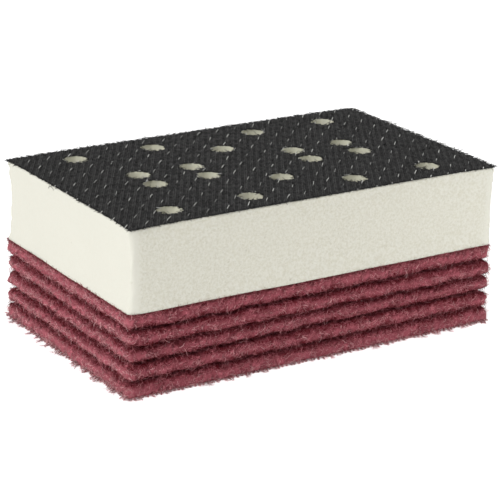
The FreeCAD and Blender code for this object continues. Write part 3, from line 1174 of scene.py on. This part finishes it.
    def fibres(self, paths: np.ndarray, tint: np.ndarray) -> Shape:
        """Fine three-sided tubes with thin, paler tips along the given paths."""
        strands, stations = paths.shape[:2]
        thinnest, thickest = 0.035, 0.080
        thick = self.draw.uniform(thinnest, thickest, (strands, 1)) * MM
        taper = np.linspace(1.0, 0.5, stations)
        tips = np.linspace(-0.07, 0.11, stations)
        return strand_tubes(paths, thick * taper, np.clip(tint[:, None] + tips, 0.0, 1.0), 3)

    def build(self) -> None:
        """Make the pad's pieces and dress them."""
        web = self.web().make_piece(f"{self.node}_web", WEB)
        settle(web, self.node)
        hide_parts(self.node)
        layers = {"fringe": self.fringe_paths, "nap": self.nap_paths}
        if self.is_lowest:
            layers["sprawl"] = self.sprawl_paths
        if self.is_highest:
            layers["ruff"] = self.ruff_paths
        for layer, paths in layers.items():
            piece = self.fibres(*paths()).make_piece(f"{self.node}_{layer}", FIBRE)
            settle(piece, self.node)


# ---------------------------------------------------------------------------
# The block
# ---------------------------------------------------------------------------


@dataclass
class FoamCore:
    """The block's foam: hollowed sides that flare at the foot, and eighteen bores.

    Attributes:
        holes: where the bores are.
        body: the body that the foam rides on.
        corner: radius of the upright corners.
        waist: how far the sides bow inwards at mid-height.
        ease: rounding of the long edges.
        flare: how far the foot of the walls stands out.
        step: size of the mesh's cells.
        levels: levels of vertices up the walls.
    """

    holes: HolePattern
    body: str = "block"
    corner: float = 1.6 * MM
    waist: float = 0.55 * MM
    ease: float = 0.35 * MM
    flare: float = 0.42 * MM
    step: float = 0.8 * MM
    levels: int = 30

    def shape(self) -> Shape:
        """The slab, whose walls follow a parabola between eased edges.

        The wall stands back by the waist times one less the square of the height
        measured from mid-height, and by the ease at the two faces. It stands out by the
        flare at its foot, and by ever less of it upwards.
        """
        foot, bore_ease, stain_size = 1.3, 0.2, 3.0 * MM
        stain_tint, stain_spread, smooth_over = 0.06, 0.08, 4.0 * MM
        low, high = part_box("foam_core")
        half = 0.5 * (high - low)
        plan = PunchedPlan(Outline(half.x, half.y, self.corner), self.holes, self.step)
        spaced = np.sin(np.linspace(-0.25 * TAU, 0.25 * TAU, self.levels))
        heights = low.z + half.z * (1.0 + spaced)
        bow = -self.waist * (1.0 - spaced**2)
        from_face = half.z * (1.0 - np.abs(spaced))
        eased = np.clip(1.0 - from_face / self.ease, 0.0, 1.0) ** 2
        outer = bow - self.ease * eased + self.flare * (foot - spaced) / (foot + 1.0)
        slab = plan.raise_slab(heights, outer, -bore_ease * self.ease * eased)
        rim_reach = 0.5 * self.step
        in_bore = self.holes.distance_outside(slab.points[:, :2]) < rim_reach
        stains = stain_tint + stain_spread * smooth_noise(slab.points, stain_size, 505)
        stain = np.clip(stains, 0.0, 0.3)
        # tint 0.5 on the end walls and 1 elsewhere: the long walls get pores, blotches and painted
        # shade
        from_end = (half.x - np.abs(slab.points[:, 0])) / smooth_over
        end_wall = 0.5 + np.clip(from_end - 0.5, 0.0, 0.5)
        slab.tint = np.where(in_bore, stain, end_wall)
        roughened = self._roughen(slab)
        roughened.points = pull_corners(self._settle_out_of_square(roughened.points))
        return roughened

    def _settle_out_of_square(self, points: np.ndarray) -> np.ndarray:
        """Let the foam belly to one side, and its long walls draw in towards the ends.

        The belly is a parabola up the wall. What the walls draw in by is a parabola over
        the last stretch of their length, and more at one end than at the other.

        Args:
            points: places on the foam, one row of x, y, z each.

        Returns:
            The moved places.
        """
        belly, drawn, skewed = 0.5 * MM, 0.27 * MM, 0.22 * MM
        over, keenness = 13.0 * MM, 8
        low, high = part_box("foam_core")
        ends = np.clip(1.0 - (high.x - np.abs(points[:, 0])) / over, 0.0, 1.0) ** 2
        walls = np.minimum(np.abs(points[:, 1]) / high.y, 1.0) ** keenness
        level = (2.0 * points[:, 2] - low.z - high.z) / (high.z - low.z)
        inwards = drawn - skewed * np.sign(points[:, 0])
        moved = points.copy()
        moved[:, 0] += belly * (1.0 - level**2)
        moved[:, 1] -= np.sign(points[:, 1]) * inwards * ends * walls
        return moved

    def _roughen(self, slab: Shape) -> Shape:
        """Give the cut walls a soft unevenness by noise along both level axes.

        The fine noise is deeper on the upright corners, where the cut foam has ripped.

        Args:
            slab: the slab, whose points are moved.

        Returns:
            The same slab.
        """
        wave_size, wave_depth = 24.0 * MM, 0.10 * MM
        tear_size, tear_depth, corner_depth = 2.2 * MM, 0.035 * MM, 0.12 * MM
        high = np.array(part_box("foam_core")[1])
        near_ends = np.clip(1.0 - (high[0] - np.abs(slab.points[:, 0])) / self.corner, 0.0, 1.0)
        near_sides = np.clip(1.0 - (high[1] - np.abs(slab.points[:, 1])) / self.corner, 0.0, 1.0)
        tear_depth_and_end_light = tear_depth + corner_depth * np.sqrt(near_ends * near_sides)
        for axis, seed in ((0, 501), (1, 503)):
            waves = smooth_noise(slab.points, wave_size, seed)
            tears = smooth_noise(slab.points, tear_size, seed + 1)
            slab.points[:, axis] += wave_depth * waves + tear_depth_and_end_light * tears
        return slab

    def build(self) -> None:
        """Make the foam and dress it."""
        piece = self.shape().make_piece("foam_slab", FOAM)
        settle(piece, self.body)
        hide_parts("foam_core")


@dataclass(frozen=True)
class StitchLattice:
    """The square lattice of the tie stitches, which the knitted ribs follow too.

    Attributes:
        pitch: distance between neighbouring stitches, both ways.
        turn: turn of the lattice against the long side.
        first: centre of one stitch, near the front left corner.
        ribs_along: ribs passed in one step along a row.
        ribs_across: ribs passed in one step along a column.
    """

    pitch: float = 7.08 * MM
    turn: float = math.radians(1.8)
    first: tuple[float, float] = (-59.3 * MM, -37.0 * MM)
    ribs_along: int = 3
    ribs_across: int = 2

    def places(self) -> np.ndarray:
        """The lattice's points on and around the block, one row of x, y a stitch."""
        columns, rows = np.meshgrid(np.arange(-3, 22), np.arange(-3, 15), indexing="ij")
        step = self.pitch * np.array([math.cos(self.turn), math.sin(self.turn)])
        sidestep = np.array([-step[1], step[0]])
        return np.array(self.first) + columns.reshape(-1, 1) * step + rows.reshape(-1, 1) * sidestep

    @property
    def rib_pitch(self) -> float:
        """Distance from one rib to the next, at right angles to them."""
        return self.pitch / math.hypot(self.ribs_along, self.ribs_across)

    @property
    def rib_bearing(self) -> float:
        """Direction of the ribs against the long side."""
        return self.turn + math.atan2(self.ribs_along, self.ribs_across)


@dataclass
class Facing:
    """The facing: dried adhesive, a black knitted cloth with low hooks, tie stitches.

    Attributes:
        holes: where the cloth is punched.
        lattice: where the stitches are, and how the ribs run.
        body: the body that the facing rides on.
        corner: radius of the cloth's corners.
        step: size of the cells of the cloth's mesh.
        ground: thickness of the cloth under its ribs.
        loop_pitch: distance between knitted loops along a rib.
        yarn: radius of the knitted yarn.
        hooks: how many hooks stand on the ribs.
        fray: how many yarn ends stick out of the cut edges.
    """

    holes: HolePattern
    lattice: StitchLattice
    body: str = "block"
    corner: float = 0.8 * MM
    step: float = 0.7 * MM
    ground: float = 0.12 * MM
    loop_pitch: float = 0.80 * MM
    yarn: float = 0.24 * MM
    hooks: int = 3000
    fray: int = 1500

    def __post_init__(self) -> None:
        """Take the cloth's outline and levels from its node."""
        low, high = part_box("facing_cloth")
        half = 0.5 * (high - low)
        self.outline = Outline(half.x, half.y, self.corner)
        self.bottom = low.z
        self.top = high.z
        self.draw = np.random.default_rng(77)

    def on_cloth(self, places: np.ndarray, margin: float) -> np.ndarray:
        """Which x, y points lie on the cloth, at least a margin from its edges."""
        inside = self.outline.distance_inside(places) > margin
        return inside & (self.holes.distance_outside(places) > margin)

    def cloth(self) -> Shape:
        """The cloth's ground: a thin closed sheet with frayed rims and low ribs.

        The rims go in and out by noise, but never so far in that the glue shows. The
        upper face rises by a cosine across the ribs.
        """
        fray_size, fray_depth, deepest = 1.1 * MM, 0.20 * MM, 0.22 * MM
        rib_height, ground_tint = 0.08 * MM, 0.15
        plan = PunchedPlan(self.outline, self.holes, self.step)
        heights = np.array([self.bottom, self.bottom + self.ground])
        level = np.zeros(2)
        sheet = plan.raise_slab(heights, level, level)
        count = len(plan.points)
        flat = np.concatenate([plan.points, np.zeros((count, 1))], axis=1)
        frayed = fray_depth * smooth_noise(flat, fray_size, 611) - 0.5 * fray_depth
        frayed = np.maximum(frayed, -deepest)
        moved = plan.points + plan.outward * frayed[:, None]
        sheet.points[:count, :2] = moved
        sheet.points[count:, :2] = moved
        across = self.lattice.rib_bearing + 0.25 * TAU
        over_ribs = np.array([math.cos(across), math.sin(across)])
        phase = (plan.points @ over_ribs) / self.lattice.rib_pitch
        rib = 0.5 + 0.5 * np.cos(TAU * phase)
        sheet.points[count:, 2] += rib_height * rib
        # painted shade: the ground between the ribs is tinted darker than the yarn of the ribs
        sheet.tint[:] = ground_tint
        sheet.points = pull_corners(sheet.points)
        return sheet

    def loop_paths(self) -> tuple[np.ndarray, np.ndarray]:
        """The knitted loops: slanted legs in pairs along each rib, like a row of Vs.

        Each leg is a short arch. Along it the height is one less the sixth power of
        the distance from its middle, so that it dives into the ground at both ends.

        Returns:
            The stations of each leg, and a tint for each.
        """
        stations, margin, overhang = 5, 0.10 * MM, 0.22 * MM
        legs_apart, splay, half_lengths = 0.14, math.radians(8.0), (1.05, 1.30)
        unevenness, straying, turning = 0.05, 0.02, 0.03
        pitch = self.lattice.rib_pitch
        bearing = self.lattice.rib_bearing
        ahead = np.array([math.cos(bearing), math.sin(bearing)])
        side = np.array([-ahead[1], ahead[0]])
        reach = math.hypot(self.outline.half_x, self.outline.half_y)
        ribs = np.arange(-round(reach / pitch), round(reach / pitch) + 1)
        loops = np.arange(-round(reach / self.loop_pitch), round(reach / self.loop_pitch) + 1)
        rib, loop, leg = (a.ravel() for a in np.meshgrid(ribs, loops, (-1.0, 1.0), indexing="ij"))
        count = len(rib)
        phase = self.draw.uniform(0.0, 1.0, len(ribs))[(rib - ribs[0]).astype(int)]
        along = (loop + phase) * self.loop_pitch + self.draw.normal(0.0, unevenness, count) * MM
        spread = legs_apart * pitch
        beside = rib * pitch + leg * spread + self.draw.normal(0.0, straying, count) * MM
        middle = along[:, None] * ahead + beside[:, None] * side
        kept = self.on_cloth(middle, margin)
        middle, leg, count = middle[kept], leg[kept], int(kept.sum())
        slant = -leg * splay + self.draw.normal(0.0, turning, count)
        facing = np.stack([np.cos(bearing + slant), np.sin(bearing + slant)], axis=1)
        room = np.minimum(self.outline.distance_inside(middle), self.holes.distance_outside(middle))
        half = np.minimum(self.draw.uniform(*half_lengths, count) * MM, room + overhang)
        travel = np.linspace(-1.0, 1.0, stations)
        flat = middle[:, None] + facing[:, None] * (travel * half[:, None])[..., None]
        lift = self.draw.uniform(0.75, 1.0, count)
        crown = self.top - self.yarn - self.bottom - 0.5 * self.ground
        heights = self.bottom + 0.5 * self.ground + crown * lift[:, None] * (1.0 - travel**6)
        paths = np.concatenate([flat, heights[..., None]], axis=2)
        return paths, np.clip(self.draw.normal(0.51, 0.22, count), 0.0, 1.0)

    def fray_paths(self) -> tuple[np.ndarray, np.ndarray]:
        """Cut yarn ends round the outline and round every hole.

        Each is a short arc that starts on the cloth, leaves across the cut edge, and
        turns to one side and up or down by a parabola.

        Returns:
            The stations of each end, and a tint for each.
        """
        stations, begin, ends_per_hole = 4, -0.25, 56
        skew, curl, longest, starts = 0.45, 0.25, 1.3, (0.10, 0.38)
        places, normals = self.outline.walk(self.fray)
        centres = self.holes.centres()
        angle = self.draw.uniform(0.0, TAU, (len(centres), ends_per_hole))
        ray = np.stack([np.cos(angle), np.sin(angle)], axis=-1)
        rims = (centres[:, None] + ray * self.holes.radius).reshape(-1, 2)
        places = np.concatenate([places, rims])
        out = np.concatenate([normals, -ray.reshape(-1, 2)])
        count = len(places)
        length = np.minimum(self.draw.gamma(2.2, 0.27, count), longest)[:, None] * MM
        travel = np.linspace(begin, 1.0, stations) * length
        flat = edge_arcs(self.draw, places, out, travel, skew, curl)
        start = self.bottom + self.draw.uniform(*starts, count)[:, None] * MM
        rise = self.draw.normal(0.05, 0.22, count)[:, None]
        heights = start + rise * travel**2 / MM
        paths = np.concatenate([flat, heights[..., None]], axis=2)
        return paths, np.clip(self.draw.normal(0.25, 0.2, count), 0.0, 1.0)

    def hook_paths(self) -> tuple[np.ndarray, np.ndarray]:
        """Small hooks that stand up from the ribs and curl over.

        Each is a quarter and a bit of a circle, leaning a random way.

        Returns:
            The stations of each hook, and a tint for each.
        """
        stations, margin, sunk = 4, 0.05 * MM, 0.30 * MM
        sweep, sizes, tallness = 0.36 * TAU, (0.18, 0.34), 1.3
        spots = self.draw.uniform(-1.0, 1.0, (self.hooks, 2))
        spots *= np.array([self.outline.half_x, self.outline.half_y])
        spots = spots[self.on_cloth(spots, margin)]
        count = len(spots)
        bearing = self.draw.uniform(0.0, TAU, count)
        lean = np.stack([np.cos(bearing), np.sin(bearing)], axis=1)
        turn = np.linspace(0.0, sweep, stations)
        size = self.draw.uniform(*sizes, count)[:, None] * MM
        reach = size * (1.0 - np.cos(turn))
        heights = self.top - sunk + tallness * size * np.sin(turn)
        flat = spots[:, None] + lean[:, None] * reach[..., None]
        paths = np.concatenate([flat, heights[..., None]], axis=2)
        return paths, np.clip(self.draw.normal(0.35, 0.2, count), 0.0, 1.0)

    def stitch_paths(self) -> tuple[np.ndarray, np.ndarray]:
        """The tie stitches: short threads aslant in the cloth, cut off where it ends.

        Each thread is a shallow S on the cloth: it swings to one side and back by a
        sine, and its ends dive by the sixth power of the distance from its middle. The
        deeper a thread sinks, the darker it is tinted, as painted shade. A cut thread lies
        higher, is left pale, without that painted shade, and overhangs the edge a little.

        Returns:
            The stations of each thread, and a tint for each.
        """
        stations, samples = 9, 41
        slant, straying, turning = math.radians(48.0), 0.22, 0.03
        lengths, deepest, bending = (3.5, 4.7), 0.30, 0.05
        overhang, proud, dive = 0.80 * MM, 0.03 * MM, 0.22 * MM
        cut_depth, cut_tint = 0.1, 1.35
        places = self.lattice.places()
        count = len(places)
        places = places + self.draw.normal(0.0, straying, (count, 2)) * MM
        slants = slant + self.draw.normal(0.0, turning, count)
        ahead = np.stack([np.cos(slants), np.sin(slants)], axis=1)
        length = self.draw.uniform(*lengths, count) * MM
        sunk = self.draw.beta(1.1, 2.0, count) * deepest * MM
        bend = self.draw.normal(0.0, bending, count) * MM
        share = np.linspace(-0.5, 0.5, samples)
        trial = places[:, None] + ahead[:, None] * (share * length[:, None])[..., None]
        on = self.on_cloth(trial, -overhang)
        first = on.argmax(axis=1)
        beyond = np.arange(samples)[None] > first[:, None]
        ended = ~on & beyond
        last = np.where(ended.any(axis=1), ended.argmax(axis=1) - 1, samples - 1)
        kept = on.any(axis=1) & (last - first > samples // 6)
        cut = (first > 0) | (last < samples - 1)
        sunk = np.where(cut, cut_depth * sunk, sunk)
        # painted shade: the deeper a stitch sinks into the cloth, the darker its tint
        tint = np.clip(self.draw.normal(0.80, 0.22, count) - sunk / (0.6 * MM), 0.10, 1.0)
        tint = np.where(cut, cut_tint, tint)
        begin, end = share[first], share[last]
        travel = begin[:, None] + (end - begin)[:, None] * np.linspace(0.0, 1.0, stations)
        side = np.stack([-ahead[:, 1], ahead[:, 0]], axis=1)
        flat = (places[:, None] + ahead[:, None] * (travel * length[:, None])[..., None]
                + side[:, None] * (bend[:, None] * np.sin(TAU * travel))[..., None])
        crown = self.top + proud - sunk[:, None]
        heights = crown - dive * (2.0 * np.abs(travel)) ** 6
        paths = np.concatenate([flat, heights[..., None]], axis=2)
        return paths[kept], tint[kept]

    def build(self) -> None:
        """Make the facing's pieces and dress them."""
        self._build_glue()
        self._build_cloth()
        self._build_knit()
        self._build_stray()
        self._build_stitches()

    def _build_glue(self) -> None:
        """Make the film of adhesive, which stays short of the cloth's edges."""
        low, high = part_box("facing_adhesive")
        half = 0.5 * (high - low)
        setback = self.outline.half_x - half.x
        outline = Outline(half.x, half.y, self.corner)
        plan = PunchedPlan(outline, self.holes, 2.0 * self.step, setback)
        film = plan.raise_slab(np.array([low.z, high.z]), np.zeros(2), np.zeros(2))
        film.points = pull_corners(film.points)
        piece = film.make_piece("glue_film", GLUE)
        settle(piece, self.body)
        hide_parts("facing_adhesive")

    def _build_cloth(self) -> None:
        """Make the ground cloth, and work out the area that its holes punch out."""
        piece = self.cloth().make_piece("cloth_ground", CLOTH)
        settle(piece, self.body)
        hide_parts("facing_cloth")
        punched = len(self.holes.centres()) * 0.5 * TAU * self.holes.radius**2

    def _build_knit(self) -> None:
        """Make the knitted ribs in bands along the block, and the hooks on them."""
        bands, one_in = 3, 6
        # painted shade at both ends of each leg, where it dives into the ground, and a little lighter
        # on its crown
        leg_end_shade = np.array([-0.10, 0.0, 0.03, 0.0, -0.10])
        paths, tint = self.loop_paths()
        middle = paths[:, paths.shape[1] // 2, 0]
        share = (middle + self.outline.half_x) / (2.0 * self.outline.half_x)
        band = np.clip((share * bands).astype(int), 0, bands - 1)
        for number in range(bands):
            chosen = band == number
            radii = np.full((int(chosen.sum()), paths.shape[1]), self.yarn)
            yarn_grey = tint[chosen][:, None] + leg_end_shade
            placed = pull_corners(paths[chosen])
            shape = strand_tubes(placed, radii, np.clip(yarn_grey, 0.0, 1.0), 4)
            settle(shape.make_piece(f"knitted_ribs_{number + 1}", CLOTH), self.body)
        ends, tint = self.fray_paths()
        order = np.arange(len(ends))
        pale = (order >= self.fray) & (order % one_in == 0)
        self._build_ends("hooks", *self.hook_paths(), CLOTH, Slot.CLOTH)
        self._build_ends("frayed_ends", ends[~pale], tint[~pale], CLOTH, Slot.CLOTH)
        self._build_ends("pale_ends", ends[pale], tint[pale] + 0.4, STITCH, Slot.STITCH)

    def _build_ends(self, name: str, paths: np.ndarray, tint: np.ndarray, finish: Finish,
                    slot: Slot) -> None:
        """Make a piece of many short three-sided ends that thin towards their tips.

        Args:
            name: the piece's name.
            paths: the stations of each end.
            tint: a tint for each end.
            finish: the finish that they are given.
            slot: not used.
        """
        radii = np.broadcast_to(np.array([0.11, 0.10, 0.09, 0.06]) * MM, paths.shape[:2])
        tints = np.repeat(tint[:, None], paths.shape[1], 1)
        shape = strand_tubes(pull_corners(paths), radii, tints, 3)
        settle(shape.make_piece(name, finish), self.body)

    def _build_stray(self) -> None:
        """Make the one loose curl of yarn that hangs on the end wall under the facing."""
        stations, thickness, tint = 11, 0.08 * MM, 0.6
        width, rise, drop, proud, middle = 2.6 * MM, 0.7 * MM, 1.3 * MM, 0.25 * MM, 9.4 * MM
        turn = np.linspace(-0.1, 1.1, stations) * 0.5 * TAU
        sideways = middle - 0.5 * width * np.cos(turn)
        heights = self.bottom - drop + rise * np.sin(turn)
        outwards = -self.outline.half_x - proud * np.sin(0.5 * turn)
        path = np.stack([outwards, sideways, heights], axis=1)[None]
        radii = np.full((1, stations), thickness)
        shape = strand_tubes(path, radii, np.full((1, stations), tint), 5)
        settle(shape.make_piece("stray_curl", CLOTH), self.body)

    def _build_stitches(self) -> None:
        """Make the tie stitches."""
        paths, tint = self.stitch_paths()
        thread = 0.13 * MM
        thick = thread * np.array([0.5, 0.8, 0.95, 1.0, 1.0, 1.0, 0.95, 0.8, 0.5])
        radii = np.broadcast_to(thick, paths.shape[:2])
        # painted shade: both ends of each thread, where it dives into the cloth, are tinted darker
        fade = np.array([-0.35, -0.1, 0.0, 0.0, 0.0, 0.0, 0.0, -0.1, -0.35])
        shape = strand_tubes(pull_corners(paths), radii, np.clip(tint[:, None] + fade, 0.0, 1.0), 5)
        piece = shape.make_piece("tie_threads", STITCH)
        settle(piece, self.body)
        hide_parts("tie_stitches")


# ---------------------------------------------------------------------------
# The studio
# ---------------------------------------------------------------------------


@dataclass(frozen=True)
class Softbox:
    """A square area light that looks at the object.

    Attributes:
        name: the lamp's name.
        place: where it hangs.
        side: the length of its side.
        watts: its power.
    """

    name: str
    place: tuple[float, float, float]
    side: float
    watts: float

    def build(self, target: Vector) -> None:
        """Hang the lamp and turn it to the target."""
        lamp = bpy.data.lights.new(self.name, "AREA")
        lamp.shape = "SQUARE"
        lamp.size = self.side
        lamp.energy = self.watts
        holder = bpy.data.objects.new(self.name, lamp)
        holder.location = self.place
        holder.rotation_euler = (target - Vector(self.place)).to_track_quat("-Z", "Y").to_euler()
        holder.visible_camera = False
        bpy.context.scene.collection.objects.link(holder)


@dataclass(frozen=True)
class StudioCamera:
    """The camera, held by the direction that it looks from.

    Attributes:
        azimuth: bearing of the camera round the object, from the front.
        elevation: height of the camera above the level.
        roll: tilt of its picture.
        distance: from the camera to the plane through the origin.
        aside: shift of the camera along its own right.
        above: shift of the camera along its own up.
        lens: focal length in millimetres, for a sensor 36 wide.
    """

    azimuth: float = math.radians(-32.82)
    elevation: float = math.radians(19.07)
    roll: float = math.radians(1.29)
    distance: float = 0.67133
    aside: float = 0.00063
    above: float = 0.02226
    lens: float = 148.15

    def build(self) -> None:
        """Set up the camera and make it the scene's."""
        level = math.cos(self.elevation)
        back = Vector((math.sin(self.azimuth) * level, -math.cos(self.azimuth) * level,
                       math.sin(self.elevation)))
        level_right = (-back).cross(Vector((0.0, 0.0, 1.0))).normalized()
        level_up = level_right.cross(-back)
        right = math.cos(self.roll) * level_right + math.sin(self.roll) * level_up
        up = math.cos(self.roll) * level_up - math.sin(self.roll) * level_right
        camera = bpy.data.cameras.new("studio_camera")
        camera.sensor_width = 36.0
        camera.lens = self.lens
        camera.clip_start = 0.01
        holder = bpy.data.objects.new("studio_camera", camera)
        turned = Matrix((right, up, back)).transposed().to_4x4()
        place = back * self.distance + right * self.aside + up * self.above
        holder.matrix_world = Matrix.Translation(place) @ turned
        bpy.context.scene.collection.objects.link(holder)
        bpy.context.scene.camera = holder


@dataclass(frozen=True)
class Studio:
    """A pale glowing table, a bright even surround and three softboxes.

    Attributes:
        floor_side: the side of the table.
        surround: strength of the light from all round.
        backdrop: brightness of the surround as the camera sees it.
        lamps: the softboxes.
    """

    floor_side: float = 6.0
    surround: float = 0.48
    backdrop: float = 1.0
    lamps: tuple[Softbox, ...] = (
        Softbox("key", (-1.05, -0.25, 0.80), 0.9, 14.0),
        Softbox("top", (0.10, -0.20, 1.30), 1.2, 10.0),
        Softbox("fill", (0.22, -0.18, 0.07), 0.10, 0.18),
    )

    def build(self) -> None:
        """Lay the table, light the surround and hang the lamps."""
        signs = np.array([[-1.0, -1.0, 0.0], [1.0, -1.0, 0.0], [1.0, 1.0, 0.0], [-1.0, 1.0, 0.0]])
        points = 0.5 * self.floor_side * signs
        floor = Shape(points, [np.array([[0, 1, 2, 3]])], np.zeros(4)).make_piece("floor", FLOOR)
        world = bpy.data.worlds.new("surround")
        world.use_nodes = True
        wiring = Wiring(world.node_tree)
        world.node_tree.nodes.clear()
        white = (1.0, 1.0, 1.0)
        lit = wiring.add("ShaderNodeBackground", {"Color": white, "Strength": self.surround})
        seen = wiring.add("ShaderNodeBackground", {"Color": white, "Strength": self.backdrop})
        is_seen = wiring.add("ShaderNodeLightPath").outputs["Is Camera Ray"]
        mixed = wiring.add("ShaderNodeMixShader", {0: is_seen, 1: lit.outputs[0], 2: seen.outputs[0]})
        wiring.add("ShaderNodeOutputWorld", {"Surface": mixed.outputs[0]})
        bpy.context.scene.world = world
        bpy.context.scene.view_settings.view_transform = "Standard"
        middle = 0.5 * (Vector(CAD_BOX[0]) + Vector(CAD_BOX[1]))
        for lamp in self.lamps:
            lamp.build(middle)


def main() -> None:
    """Build the studio, the five pads and the block."""
    logging.basicConfig(level=logging.INFO, format="%(message)s")
    StudioCamera().build()
    Studio().build()
    pads = sum(name.startswith("fleece_pad_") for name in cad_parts)
    for number in range(1, pads + 1):
        FleecePad(number).build()
    holes = HolePattern()
    FoamCore(holes).build()
    Facing(holes, StitchLattice()).build()


if __name__ == "__main__":
    main()
